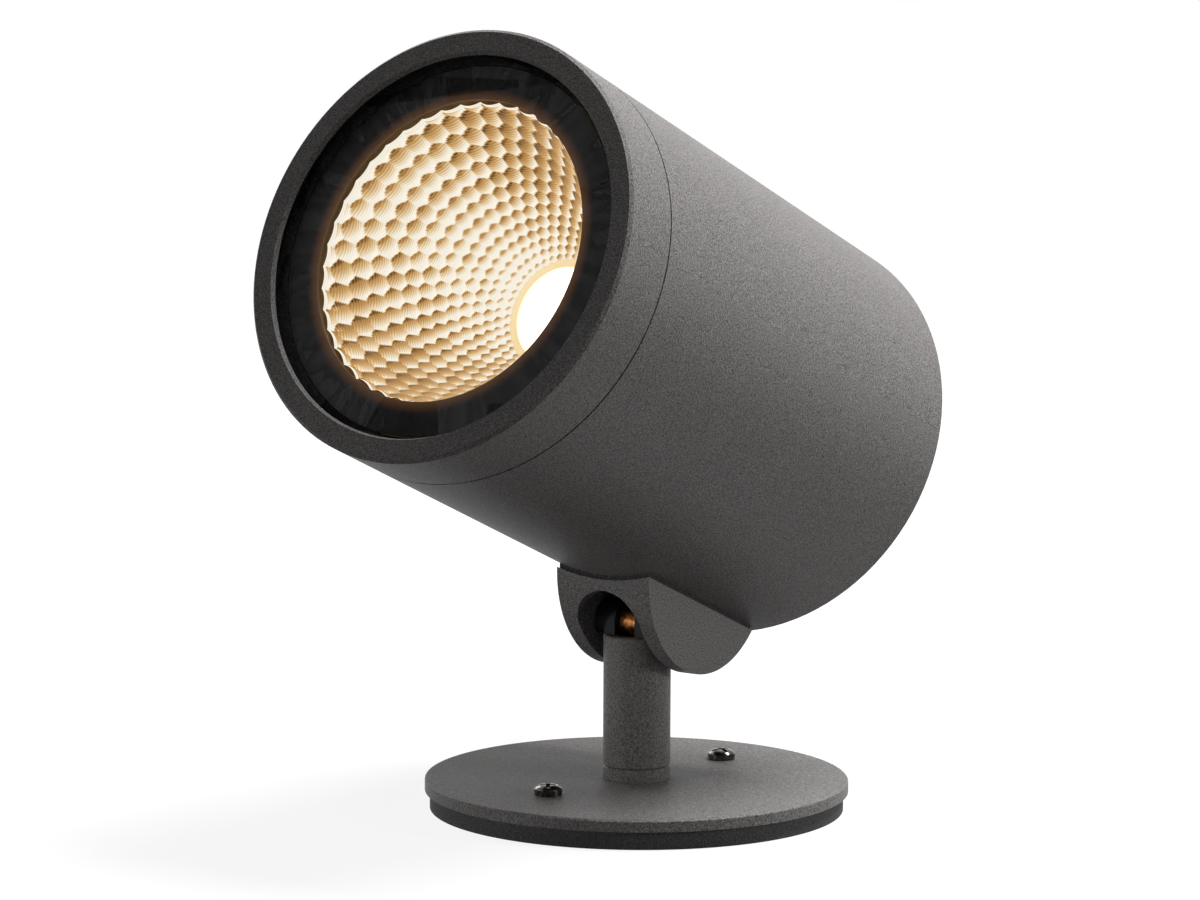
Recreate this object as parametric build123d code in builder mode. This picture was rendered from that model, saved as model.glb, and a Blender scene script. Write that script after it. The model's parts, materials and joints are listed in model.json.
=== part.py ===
from build123d import *
import math
import os

# Landscape spotlight in millimetres: pad underside at z = 0, post on the z axis, head pointing to -y.

# Base plate, rubber pad and fixing screws.
BASE_R = 55.0
BASE_T = 3.1
BASE_EDGE = 0.5
PAD_R = BASE_R - 1.3
PAD_T = 4.7
PLATE_TOP = PAD_T + BASE_T
SCREW_CIRCLE_R = 33.0
SCREW_TURN = 82.0
SCREW_R = 2.0
SCREW_HEAD_R = 3.65
SCREW_HEAD_H = 2.7
SCREW_FOOT = 0.6
HOLE_CLEAR = 0.25

# Post, collar and the swivel that holds them to the plate.
POST_R = 8.75
COLLAR_H = 3.3
COLLAR_TOP = PLATE_TOP + COLLAR_H
SPIGOT_R = 6.0
SWIVEL_CLEAR = 0.06
SWIVEL_GAP = 0.1
CABLE_R = 4.0
SPIGOT_FOOT = 0.0
WASHER_T = 0.5
NUT_FLATS = 17.0
NUT_FOOT = SPIGOT_FOOT + 0.8
EDGE_BREAK = 0.3

# Tilt hinge.
PIVOT_Z = 48.5
PIVOT_DROP = 3.0
POST_TOP = PIVOT_Z - PIVOT_DROP
STEM_R = 6.15
STEM_CLEAR = 0.03
STEM_FOOT = 29.0
EYE_R = 5.8
LUG_OUT = 6.4
LUG_IN = 3.1
FORK_FLOOR = 39.0
BOLT_R = 2.5
BOLT_CLEAR = 0.05
BOLT_HEAD_R = 4.4
BOLT_HEAD_H = 2.4
BUSH_R = 3.6
FACE_CLEAR = 0.1

# Head: a tube on an axis that leans back by the tilt seen in the photo.
TILT = 22.9
HEAD_R = 55.3
HEAD_LENGTH = 154.6
PIVOT_GAP = 7.1
WALL = 3.0
REAR_WALL = 4.0
INNER_R = HEAD_R - WALL
EDGE_ROUND = 0.8

# Bezel, glass and seals, as depths behind the front face.
BEZEL_LENGTH = 17.4
SEAM = 0.5
THREAD_R = HEAD_R - 3.8
THREAD_CLEAR = 0.2
GLASS_R = THREAD_R - 0.3
GLASS_T = 3.2
LIP_R = GLASS_R - 1.7
LIP_T = 1.2
GLASS_BACK = LIP_T + GLASS_T
SEAL_T = 1.8
SEAL_R = GLASS_R - 3.6
SPIGOT_DEPTH = GLASS_BACK + SEAL_T
FRONT_BORE_R = THREAD_R - 3.5
MASK_R = SEAL_R - 9.0
MASK_T = 0.6
RING_SECTION = 0.75
RING_DEPTH = 14.5

# Reflector, light source and heat sink.
RIM_R = MASK_R + 0.2
RIM_DEPTH = 6.6
THROAT_R = RIM_R * 0.3866
THROAT_DEPTH = 54.4
REFLECTOR_WALL = 1.8
FACETS = 28
ROWS = 8
HOLDER_DEPTH = THROAT_DEPTH + 0.1
HOLDER_R = THROAT_R * 1.533
HOLDER_SCREW_R = HOLDER_R * 0.817
HOLDER_H = 4.4
EMITTER_R = THROAT_R * 0.827
EMITTER_T = 1.2
BOARD_SIDE = EMITTER_R * 2.258
BOARD_T = 1.5
SINK_DEPTH = HOLDER_DEPTH + HOLDER_H
SINK_T = 6.0
SINK_R = FRONT_BORE_R - 0.4
FIN_COUNT = 7
FIN_T = 2.0
FIN_PITCH = 9.0
FIN_LENGTH = 20.0
FIN_R = SINK_R - 9.6
LEDGE_DEPTH = SINK_DEPTH + SINK_T
LEDGE_T = 4.0
LEDGE_R = FIN_R + 3.0
SMALL_SCREW_R = 1.25
SMALL_HEAD_R = 2.5
SMALL_HEAD_H = 1.8
DRIVER_X = INNER_R * 1.147
DRIVER_Y = INNER_R * 0.688
DRIVER_LENGTH = 48.0
FOOT_T = 2.0
FOOT_X = DRIVER_X + 16.0

# Knuckle under the head: a disc cut off by the saddle.
DISC_R = 27.6
DISC_BACK = -5.6
DISC_RISE = 17.4
KNUCKLE_HALF = 14.4
SLOT_HALF = 9.8
SLOT_SWING = 68.0
POCKET_HALF = 13.0
SADDLE_T = 1.2
SADDLE_INSET = 0.5
SADDLE_X = (SLOT_HALF + KNUCKLE_HALF) / 2
SADDLE_FRONT = 12.0
SADDLE_REAR = -22.0
SADDLE_BITE = 5.0
GROMMET_AT = 7.6
GROMMET_R = 4.4
REAR_OVERHANG = 2.7

# The head ends just behind the knuckle and reaches forward from there.
HEAD_REAR = DISC_BACK - DISC_R - REAR_OVERHANG
HEAD_FRONT = HEAD_REAR + HEAD_LENGTH

FORWARD = Vector(0, -math.cos(math.radians(TILT)), math.sin(math.radians(TILT)))
UPWARD = Vector(0, math.sin(math.radians(TILT)), math.cos(math.radians(TILT)))
PIVOT = Vector(0, 0, PIVOT_Z)
HEAD_CENTRE = PIVOT + UPWARD * (HEAD_R + PIVOT_GAP)
HEAD_AXIS = Axis(HEAD_CENTRE, FORWARD)
MERIDIAN = Plane(origin=HEAD_CENTRE, x_dir=UPWARD, z_dir=(1, 0, 0))
SIDE = Plane(origin=PIVOT, x_dir=FORWARD, z_dir=(-1, 0, 0))
os.makedirs("parts", exist_ok=True)


def behind(depth):
    """Station along the head axis of a depth behind the front face."""
    return HEAD_FRONT - depth


def section(depth):
    """Plane across the head at a depth behind the front face, facing forward."""
    return Plane(origin=HEAD_CENTRE + FORWARD * behind(depth), x_dir=(1, 0, 0), z_dir=FORWARD)


def floor_plane(ahead, height):
    """Plane looking up in the head's frame, placed from the pivot."""
    return Plane(origin=PIVOT + FORWARD * ahead + UPWARD * height, x_dir=(1, 0, 0), z_dir=UPWARD)


def surface_height(radius, offset):
    """Height above the pivot of a head-centred cylinder at a sideways offset."""
    return HEAD_R + PIVOT_GAP - math.sqrt(radius ** 2 - offset ** 2)


# Rubber pad under the plate.
with BuildPart() as base_pad:
    with BuildSketch():
        Circle(PAD_R)
        Circle(NUT_FLATS * 0.75, mode=Mode.SUBTRACT)
        with PolarLocations(SCREW_CIRCLE_R, 2, start_angle=SCREW_TURN):
            Circle(SCREW_R + HOLE_CLEAR, mode=Mode.SUBTRACT)
    extrude(amount=PAD_T)
base_pad.part.label = "base_pad"
export_step(base_pad.part, "parts/base_pad.step")

# Round plate with two holes for the fixing screws.
with BuildPart() as base_plate:
    with BuildSketch(Plane.XY.offset(PAD_T)):
        Circle(BASE_R)
        Circle(SPIGOT_R + SWIVEL_CLEAR, mode=Mode.SUBTRACT)
        with PolarLocations(SCREW_CIRCLE_R, 2, start_angle=SCREW_TURN):
            Circle(SCREW_R + HOLE_CLEAR, mode=Mode.SUBTRACT)
    extrude(amount=BASE_T)
    fillet(base_plate.edges().group_by(Axis.Z)[-1].sort_by(SortBy.LENGTH)[-1], BASE_EDGE)
base_plate.part.label = "base_plate"
export_step(base_plate.part, "parts/base_plate.step")

# Collar on the plate that the post turns in.
with BuildPart() as swivel_collar:
    with BuildSketch(Plane.XY.offset(PLATE_TOP)):
        Circle(POST_R)
        Circle(SPIGOT_R + SWIVEL_CLEAR, mode=Mode.SUBTRACT)
    extrude(amount=COLLAR_H - SWIVEL_GAP)
    chamfer(swivel_collar.edges().group_by(Axis.Z)[-1].sort_by(SortBy.LENGTH)[-1], EDGE_BREAK)
swivel_collar.part.label = "swivel_collar"
export_step(swivel_collar.part, "parts/swivel_collar.step")

# Two pan-head fixing screws.
with BuildPart() as base_screws:
    with BuildSketch(Plane.XY.offset(SCREW_FOOT)):
        with PolarLocations(SCREW_CIRCLE_R, 2, start_angle=SCREW_TURN):
            Circle(SCREW_R)
    extrude(amount=PLATE_TOP - SCREW_FOOT)
    with BuildSketch(Plane.XY.offset(PLATE_TOP)):
        with PolarLocations(SCREW_CIRCLE_R, 2, start_angle=SCREW_TURN):
            Circle(SCREW_HEAD_R)
    extrude(amount=SCREW_HEAD_H)
    fillet(base_screws.edges().group_by(Axis.Z)[-1], SCREW_HEAD_H * 0.6)
    with BuildSketch(Plane.XY.offset(PLATE_TOP + SCREW_HEAD_H)):
        with PolarLocations(SCREW_CIRCLE_R, 2, start_angle=SCREW_TURN):
            Rectangle(SCREW_HEAD_R * 1.15, SCREW_HEAD_R * 0.22)
            Rectangle(SCREW_HEAD_R * 0.22, SCREW_HEAD_R * 1.15)
    extrude(amount=-SCREW_HEAD_H * 0.55, mode=Mode.SUBTRACT)
base_screws.part.label = "base_screws"
export_step(base_screws.part, "parts/base_screws.step")

# Friction washer between the plate and the swivel nut.
with BuildPart() as friction_washer:
    with BuildSketch(Plane.XY.offset(PAD_T - WASHER_T)):
        Circle(NUT_FLATS * 0.58)
        Circle(SPIGOT_R + SWIVEL_CLEAR, mode=Mode.SUBTRACT)
    extrude(amount=WASHER_T - SWIVEL_GAP / 2)
friction_washer.part.label = "friction_washer"
export_step(friction_washer.part, "parts/friction_washer.step")

# Hexagon nut on the post's spigot.
with BuildPart() as swivel_nut:
    with BuildSketch(Plane.XY.offset(NUT_FOOT)):
        RegularPolygon(NUT_FLATS / 2, 6, major_radius=False)
        Circle(SPIGOT_R + STEM_CLEAR, mode=Mode.SUBTRACT)
    extrude(amount=PAD_T - WASHER_T - NUT_FOOT)
swivel_nut.part.label = "swivel_nut"
export_step(swivel_nut.part, "parts/swivel_nut.step")

# Round post with its spigot and cable bore.
with BuildPart() as post:
    with BuildSketch(Plane.XY.offset(COLLAR_TOP)):
        Circle(POST_R)
    extrude(amount=POST_TOP - COLLAR_TOP)
    chamfer(post.edges().filter_by(GeomType.CIRCLE), EDGE_BREAK)
    with BuildSketch(Plane.XY.offset(SPIGOT_FOOT)):
        Circle(SPIGOT_R)
    extrude(amount=COLLAR_TOP - SPIGOT_FOOT)
    with BuildSketch(Plane.XY.offset(SPIGOT_FOOT)):
        Circle(CABLE_R)
    extrude(amount=STEM_FOOT - SPIGOT_FOOT, mode=Mode.SUBTRACT)
    with BuildSketch(Plane.XY.offset(STEM_FOOT)):
        Circle(STEM_R + STEM_CLEAR)
    extrude(amount=POST_TOP - STEM_FOOT, mode=Mode.SUBTRACT)
post.part.label = "post"
export_step(post.part, "parts/post.step")

# Steel fork in the top of the post.
with BuildPart() as hinge_fork:
    with BuildSketch(Plane.YZ):
        with Locations((0, PIVOT_Z)):
            Circle(EYE_R)
        with Locations((0, POST_TOP)):
            Rectangle(2 * EYE_R, PIVOT_DROP, align=(Align.CENTER, Align.MIN))
    extrude(amount=LUG_OUT, both=True)
    with BuildSketch(Plane.XY.offset(POST_TOP)):
        Rectangle(4 * POST_R, 4 * POST_R)
    extrude(amount=-POST_R, mode=Mode.SUBTRACT)
    with BuildSketch(Plane.XY.offset(STEM_FOOT)):
        Circle(STEM_R)
    extrude(amount=POST_TOP - STEM_FOOT)
    with BuildSketch(Plane.XZ):
        with Locations((0, FORK_FLOOR)):
            Rectangle(2 * LUG_IN, POST_R * 3, align=(Align.CENTER, Align.MIN))
    extrude(amount=2 * POST_R, both=True, mode=Mode.SUBTRACT)
    with BuildSketch(Plane.XY.offset(STEM_FOOT)):
        Circle(LUG_IN)
    extrude(amount=FORK_FLOOR - STEM_FOOT, mode=Mode.SUBTRACT)
    with BuildSketch(Plane.YZ):
        with Locations((0, PIVOT_Z)):
            Circle(BOLT_R + BOLT_CLEAR)
    extrude(amount=2 * POST_R, both=True, mode=Mode.SUBTRACT)
hinge_fork.part.label = "hinge_fork"
export_step(hinge_fork.part, "parts/hinge_fork.step")

# Brass bush between the lugs of the fork.
with BuildPart() as pivot_bush:
    with BuildSketch(Plane.YZ):
        with Locations((0, PIVOT_Z)):
            Circle(BUSH_R)
            Circle(BOLT_R + BOLT_CLEAR, mode=Mode.SUBTRACT)
    extrude(amount=LUG_IN - FACE_CLEAR / 2, both=True)
pivot_bush.part.label = "pivot_bush"
export_step(pivot_bush.part, "parts/pivot_bush.step")

# Cast knuckle: disc segment with a saddle top and a slot for the post.
with BuildPart() as knuckle:
    with BuildSketch(SIDE):
        with Locations((DISC_BACK, DISC_RISE)):
            Circle(DISC_R)
    extrude(amount=KNUCKLE_HALF, both=True)
    with BuildSketch(section(HEAD_LENGTH)):
        Circle(HEAD_R + SADDLE_T)
    extrude(amount=HEAD_LENGTH, mode=Mode.SUBTRACT)
    swing = math.radians(SLOT_SWING)
    reach = 3 * DISC_R
    slot_end = (reach * math.sin(swing), -reach * math.cos(swing))
    with BuildSketch(SIDE):
        with BuildLine():
            Polyline((0, 0), slot_end, (slot_end[0], -reach), (-slot_end[0], -reach),
                     (-slot_end[0], slot_end[1]), close=True)
        make_face()
    extrude(amount=SLOT_HALF, both=True, mode=Mode.SUBTRACT)
    for side in (1, -1):
        ray = FORWARD * side * math.sin(swing) - UPWARD * math.cos(swing)
        with BuildSketch(Plane(origin=PIVOT, x_dir=(1, 0, 0), z_dir=ray)):
            Circle(SLOT_HALF)
        extrude(amount=reach, mode=Mode.SUBTRACT)
    with BuildSketch(SIDE):
        with Locations((0, -EYE_R)):
            Rectangle(2 * POCKET_HALF, DISC_R, align=(Align.CENTER, Align.MIN))
    extrude(amount=SLOT_HALF, both=True, mode=Mode.SUBTRACT)
    with BuildSketch(SIDE.offset(KNUCKLE_HALF)):
        Circle(BOLT_HEAD_R + 0.2)
    extrude(amount=-BOLT_HEAD_H - 0.2, mode=Mode.SUBTRACT)
    with BuildSketch(SIDE.offset(KNUCKLE_HALF)):
        Circle(BOLT_R + STEM_CLEAR)
    extrude(amount=-2 * KNUCKLE_HALF + 1.2, mode=Mode.SUBTRACT)
    bite_floor = surface_height(HEAD_R + SADDLE_T, SADDLE_X) - SADDLE_BITE
    for ahead in (SADDLE_FRONT, SADDLE_REAR):
        with BuildSketch(floor_plane(ahead, bite_floor)):
            with Locations((SADDLE_X, 0), (-SADDLE_X, 0)):
                Circle(SMALL_SCREW_R)
        extrude(amount=2 * SADDLE_BITE, mode=Mode.SUBTRACT)
knuckle.part.label = "knuckle"
export_step(knuckle.part, "parts/knuckle.step")

# Thin gasket between the knuckle and the head, set in from the knuckle's edge.
with BuildPart() as knuckle_gasket:
    with BuildSketch(section(HEAD_LENGTH)):
        Circle(HEAD_R + SADDLE_T)
        Circle(HEAD_R, mode=Mode.SUBTRACT)
    extrude(amount=HEAD_LENGTH)
    with BuildSketch(SIDE):
        with Locations((DISC_BACK, DISC_RISE)):
            Circle(DISC_R - SADDLE_INSET)
    extrude(amount=KNUCKLE_HALF - SADDLE_INSET, both=True, mode=Mode.INTERSECT)
    with BuildSketch(SIDE):
        Rectangle(2 * POCKET_HALF, 2 * PIVOT_GAP + 8 * SADDLE_T)
    extrude(amount=SLOT_HALF, both=True, mode=Mode.SUBTRACT)
    for ahead in (SADDLE_FRONT, SADDLE_REAR):
        with BuildSketch(floor_plane(ahead, 0)):
            with Locations((SADDLE_X, 0), (-SADDLE_X, 0)):
                Circle(SMALL_SCREW_R + STEM_CLEAR)
        extrude(amount=4 * PIVOT_GAP, mode=Mode.SUBTRACT)
knuckle_gasket.part.label = "knuckle_gasket"
export_step(knuckle_gasket.part, "parts/knuckle_gasket.step")

# Four screws from inside the head into the knuckle.
seat_height = surface_height(INNER_R, SADDLE_X - SMALL_HEAD_R) + 0.1
with BuildPart() as knuckle_screws:
    for ahead in (SADDLE_FRONT, SADDLE_REAR):
        with BuildSketch(floor_plane(ahead, bite_floor + 0.3)):
            with Locations((SADDLE_X, 0), (-SADDLE_X, 0)):
                Circle(SMALL_SCREW_R - STEM_CLEAR)
        extrude(amount=seat_height - bite_floor - 0.3)
        with BuildSketch(floor_plane(ahead, seat_height)):
            with Locations((SADDLE_X, 0), (-SADDLE_X, 0)):
                Circle(SMALL_HEAD_R)
        extrude(amount=SMALL_HEAD_H)
knuckle_screws.part.label = "knuckle_screws"
export_step(knuckle_screws.part, "parts/knuckle_screws.step")

# Hinge bolt, its head sunk in the far cheek.
with BuildPart() as hinge_bolt:
    with BuildSketch(SIDE.offset(KNUCKLE_HALF - BOLT_HEAD_H - 0.2)):
        Circle(BOLT_HEAD_R)
    extrude(amount=BOLT_HEAD_H)
    with BuildSketch(SIDE.offset(KNUCKLE_HALF - 0.2)):
        RegularPolygon(BOLT_R * 0.62, 6, major_radius=False)
    extrude(amount=-BOLT_HEAD_H * 0.6, mode=Mode.SUBTRACT)
    with BuildSketch(SIDE.offset(KNUCKLE_HALF - BOLT_HEAD_H - 0.2)):
        Circle(BOLT_R)
    extrude(amount=BOLT_HEAD_H + 1.8 - 2 * KNUCKLE_HALF)
hinge_bolt.part.label = "hinge_bolt"
export_step(hinge_bolt.part, "parts/hinge_bolt.step")

# Two flat-footed spacers that stand on the post between the fork and the knuckle's cheeks.
with BuildPart() as hinge_washers:
    for side in (1, -1):
        with BuildSketch(Plane.YZ.offset(side * LUG_OUT)):
            with Locations((0, PIVOT_Z)):
                Circle(EYE_R - 0.3)
                Circle(BOLT_R + BOLT_CLEAR, mode=Mode.SUBTRACT)
        extrude(amount=side * (SLOT_HALF - LUG_OUT - FACE_CLEAR))
    with BuildSketch(Plane.XY.offset(POST_TOP)):
        Rectangle(4 * POST_R, 4 * POST_R)
    extrude(amount=-POST_R, mode=Mode.SUBTRACT)
hinge_washers.part.label = "hinge_washers"
export_step(hinge_washers.part, "parts/hinge_washers.step")

# Head housing: a closed tube with a threaded spigot, a ledge for the heat sink and a rear wall.
shoulder = behind(BEZEL_LENGTH + SEAM)
ring_half = RING_SECTION * 1.15
bore_end = behind(BEZEL_LENGTH + 6.0)
with BuildPart() as head_housing:
    with BuildSketch(MERIDIAN):
        with BuildLine():
            Polyline(
                (0, HEAD_REAR),
                (HEAD_R - EDGE_ROUND, HEAD_REAR),
                (HEAD_R, HEAD_REAR + EDGE_ROUND),
                (HEAD_R, shoulder),
                (THREAD_R, shoulder),
                (THREAD_R, behind(RING_DEPTH) - ring_half),
                (THREAD_R - 2 * RING_SECTION, behind(RING_DEPTH) - ring_half),
                (THREAD_R - 2 * RING_SECTION, behind(RING_DEPTH) + ring_half),
                (THREAD_R, behind(RING_DEPTH) + ring_half),
                (THREAD_R, behind(SPIGOT_DEPTH)),
                (FRONT_BORE_R, behind(SPIGOT_DEPTH)),
                (FRONT_BORE_R, bore_end),
                (INNER_R, bore_end - (INNER_R - FRONT_BORE_R)),
                (INNER_R, behind(LEDGE_DEPTH)),
                (LEDGE_R, behind(LEDGE_DEPTH)),
                (LEDGE_R, behind(LEDGE_DEPTH + LEDGE_T)),
                (INNER_R, behind(LEDGE_DEPTH + 2 * LEDGE_T)),
                (INNER_R, HEAD_REAR + REAR_WALL),
                (0, HEAD_REAR + REAR_WALL),
                close=True,
            )
        make_face()
    revolve(axis=HEAD_AXIS)
    with BuildSketch(floor_plane(GROMMET_AT, 0)):
        Circle(GROMMET_R - 0.9)
    extrude(amount=4 * PIVOT_GAP, mode=Mode.SUBTRACT)
    for ahead in (SADDLE_FRONT, SADDLE_REAR):
        with BuildSketch(floor_plane(ahead, 0)):
            with Locations((SADDLE_X, 0), (-SADDLE_X, 0)):
                Circle(SMALL_SCREW_R + HOLE_CLEAR)
        extrude(amount=4 * PIVOT_GAP, mode=Mode.SUBTRACT)
        with BuildSketch(floor_plane(ahead, seat_height)):
            with Locations((SADDLE_X, 0), (-SADDLE_X, 0)):
                Circle(SMALL_HEAD_R + HOLE_CLEAR)
        extrude(amount=2 * PIVOT_GAP, mode=Mode.SUBTRACT)
    with BuildSketch(section(LEDGE_DEPTH + LEDGE_T)):
        with PolarLocations(LEDGE_R + SMALL_HEAD_R + 0.6, 3, start_angle=90):
            Circle(SMALL_SCREW_R)
    extrude(amount=LEDGE_T, mode=Mode.SUBTRACT)
    with BuildSketch(section(HEAD_LENGTH - REAR_WALL)):
        with Locations((FOOT_X / 2 - 4, 0), (4 - FOOT_X / 2, 0)):
            Circle(SMALL_SCREW_R)
    extrude(amount=1.2 - REAR_WALL, mode=Mode.SUBTRACT)
head_housing.part.label = "head_housing"
export_step(head_housing.part, "parts/head_housing.step")

# Seal ring in the spigot's groove.
with BuildPart() as bezel_o_ring:
    with BuildSketch(MERIDIAN):
        with Locations((THREAD_R - RING_SECTION, behind(RING_DEPTH))):
            Circle(RING_SECTION)
    revolve(axis=HEAD_AXIS)
bezel_o_ring.part.label = "bezel_o_ring"
export_step(bezel_o_ring.part, "parts/bezel_o_ring.step")

# Front ring that screws over the spigot and holds the glass.
bezel_bore = THREAD_R + THREAD_CLEAR
with BuildPart() as front_bezel:
    with BuildSketch(MERIDIAN):
        with BuildLine():
            Polyline(
                (LIP_R, behind(0)),
                (HEAD_R - EDGE_ROUND, behind(0)),
                (HEAD_R, behind(EDGE_ROUND)),
                (HEAD_R, behind(BEZEL_LENGTH)),
                (bezel_bore, behind(BEZEL_LENGTH)),
                (bezel_bore, behind(LIP_T)),
                (LIP_R - LIP_T / 2, behind(LIP_T)),
                close=True,
            )
        make_face()
    revolve(axis=HEAD_AXIS)
front_bezel.part.label = "front_bezel"
export_step(front_bezel.part, "parts/front_bezel.step")

# Flat front glass.
with BuildPart() as front_glass:
    with BuildSketch(section(GLASS_BACK)):
        Circle(GLASS_R)
    extrude(amount=GLASS_T)
front_glass.part.label = "front_glass"
export_step(front_glass.part, "parts/front_glass.step")

# Seal between the glass and the housing.
with BuildPart() as glass_gasket:
    with BuildSketch(section(SPIGOT_DEPTH)):
        Circle(GLASS_R)
        Circle(SEAL_R, mode=Mode.SUBTRACT)
    extrude(amount=SEAL_T)
glass_gasket.part.label = "glass_gasket"
export_step(glass_gasket.part, "parts/glass_gasket.step")

# Black ring behind the glass that frames the reflector.
with BuildPart() as glass_mask:
    with BuildSketch(section(GLASS_BACK + MASK_T)):
        Circle(SEAL_R - 0.3)
        Circle(MASK_R, mode=Mode.SUBTRACT)
    extrude(amount=MASK_T)
glass_mask.part.label = "glass_mask"
export_step(glass_mask.part, "parts/glass_mask.step")

# Reflector: a bowl whose inside is rows of flat facets, each row half a facet round from the last.
flange_front = GLASS_BACK + MASK_T + 0.1
flange_back = RIM_DEPTH + 1.2


def bowl_radius(depth):
    """Radius of the parabolic bowl at a depth behind the front face."""
    share = (THROAT_DEPTH - depth) / (THROAT_DEPTH - RIM_DEPTH)
    return math.sqrt(THROAT_R ** 2 + (RIM_R ** 2 - THROAT_R ** 2) * share)


def facet_row(depth, radius, shift):
    """World points of one row of facet corners."""
    points = []
    for count in range(FACETS):
        turn = 2 * math.pi * (count + shift) / FACETS
        spot = HEAD_CENTRE + FORWARD * behind(depth)
        spot = spot + Vector(1, 0, 0) * (radius * math.cos(turn)) + UPWARD * (radius * math.sin(turn))
        points.append(spot)
    return points


row_depths = [THROAT_DEPTH + (RIM_DEPTH - THROAT_DEPTH) * (k / ROWS) ** 1.15 for k in range(ROWS + 1)]
rows = [facet_row(THROAT_DEPTH + 2.0, THROAT_R, 0.0)]
for k, depth in enumerate(row_depths):
    rows.append(facet_row(depth, bowl_radius(depth), 0.5 * (k % 2)))
rows.append(facet_row(flange_front - 2.0, RIM_R, 0.5 * (ROWS % 2)))
facets = [Face(Wire.make_polygon(rows[0], close=True)), Face(Wire.make_polygon(rows[-1], close=True))]
for k in range(len(rows) - 1):
    low, high = rows[k], rows[k + 1]
    level = k - 1
    straight = k == 0 or k == len(rows) - 2
    odd = 0 <= level < ROWS and level % 2 == 1
    for i in range(FACETS):
        j = (i + 1) % FACETS
        if straight:
            facets.append(Face(Wire.make_polygon([low[i], low[j], high[j], high[i]], close=True)))
        elif odd:
            facets.append(Face(Wire.make_polygon([low[i], high[i], high[j]], close=True)))
            facets.append(Face(Wire.make_polygon([low[i], low[j], high[j]], close=True)))
        else:
            facets.append(Face(Wire.make_polygon([low[i], low[j], high[i]], close=True)))
            facets.append(Face(Wire.make_polygon([low[j], high[j], high[i]], close=True)))
light_space = Solid(Shell(facets))
with BuildPart() as reflector:
    with BuildSketch(MERIDIAN):
        with BuildLine():
            outline = [(0, behind(THROAT_DEPTH))]
            for depth in row_depths[:-1]:
                outline.append((bowl_radius(depth) + REFLECTOR_WALL, behind(depth)))
            outline.append((RIM_R + REFLECTOR_WALL, behind(flange_back)))
            outline.append((SEAL_R - 0.6, behind(flange_back)))
            outline.append((SEAL_R - 0.6, behind(flange_front)))
            outline.append((0, behind(flange_front)))
            Polyline(*outline, close=True)
        make_face()
    revolve(axis=HEAD_AXIS)
    add(light_space, mode=Mode.SUBTRACT)
reflector.part.label = "reflector"
export_step(reflector.part, "parts/reflector.step")

# Holder that clamps the light source to the heat sink.
board_top = SINK_DEPTH - BOARD_T
with BuildPart() as led_holder:
    with BuildSketch(section(SINK_DEPTH)):
        Circle(HOLDER_R)
        Circle(EMITTER_R + 0.3, mode=Mode.SUBTRACT)
    extrude(amount=HOLDER_H)
    with BuildSketch(section(SINK_DEPTH)):
        Rectangle(BOARD_SIDE + 0.4, BOARD_SIDE + 0.4)
    extrude(amount=BOARD_T + 0.05, mode=Mode.SUBTRACT)
    with BuildSketch(section(SINK_DEPTH)):
        with Locations((HOLDER_SCREW_R, 0), (-HOLDER_SCREW_R, 0)):
            Circle(SMALL_SCREW_R + HOLE_CLEAR)
    extrude(amount=HOLDER_H, mode=Mode.SUBTRACT)
    with BuildSketch(section(HOLDER_DEPTH)):
        with Locations((HOLDER_SCREW_R, 0), (-HOLDER_SCREW_R, 0)):
            Circle(SMALL_HEAD_R + HOLE_CLEAR)
    extrude(amount=-SMALL_HEAD_H - 0.3, mode=Mode.SUBTRACT)
led_holder.part.label = "led_holder"
export_step(led_holder.part, "parts/led_holder.step")

# Screws of the holder.
with BuildPart() as holder_screws:
    with BuildSketch(section(HOLDER_DEPTH + SMALL_HEAD_H + 0.3)):
        with Locations((HOLDER_SCREW_R, 0), (-HOLDER_SCREW_R, 0)):
            Circle(SMALL_HEAD_R)
    extrude(amount=SMALL_HEAD_H)
    with BuildSketch(section(HOLDER_DEPTH + SMALL_HEAD_H + 0.3)):
        with Locations((HOLDER_SCREW_R, 0), (-HOLDER_SCREW_R, 0)):
            Circle(SMALL_SCREW_R - STEM_CLEAR)
    extrude(amount=-HOLDER_H)
holder_screws.part.label = "holder_screws"
export_step(holder_screws.part, "parts/holder_screws.step")

# Light source: a square board and the bright disc on it.
with BuildPart() as led_board:
    with BuildSketch(section(SINK_DEPTH)):
        Rectangle(BOARD_SIDE, BOARD_SIDE)
    extrude(amount=BOARD_T)
led_board.part.label = "led_board"
export_step(led_board.part, "parts/led_board.step")

with BuildPart() as led_emitter:
    with BuildSketch(section(board_top)):
        Circle(EMITTER_R)
    extrude(amount=EMITTER_T)
led_emitter.part.label = "led_emitter"
export_step(led_emitter.part, "parts/led_emitter.step")

# Heat sink: a plate on the housing's ledge with fins behind it.
with BuildPart() as heat_sink:
    with BuildSketch(section(LEDGE_DEPTH)):
        Circle(SINK_R)
    extrude(amount=SINK_T)
    with BuildSketch(section(LEDGE_DEPTH)):
        Circle(FIN_R)
        for count in range(FIN_COUNT + 1):
            with Locations(((count - FIN_COUNT / 2) * FIN_PITCH, 0)):
                Rectangle(FIN_PITCH - FIN_T, 3 * FIN_R, mode=Mode.SUBTRACT)
    extrude(amount=-FIN_LENGTH)
    with BuildSketch(section(LEDGE_DEPTH)):
        with PolarLocations(LEDGE_R + SMALL_HEAD_R + 0.6, 3, start_angle=90):
            Circle(SMALL_SCREW_R + HOLE_CLEAR)
    extrude(amount=SINK_T, mode=Mode.SUBTRACT)
    with BuildSketch(section(SINK_DEPTH)):
        with Locations((HOLDER_SCREW_R, 0), (-HOLDER_SCREW_R, 0)):
            Circle(SMALL_SCREW_R)
    extrude(amount=-SINK_T + 1.0, mode=Mode.SUBTRACT)
heat_sink.part.label = "heat_sink"
export_step(heat_sink.part, "parts/heat_sink.step")

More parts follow.
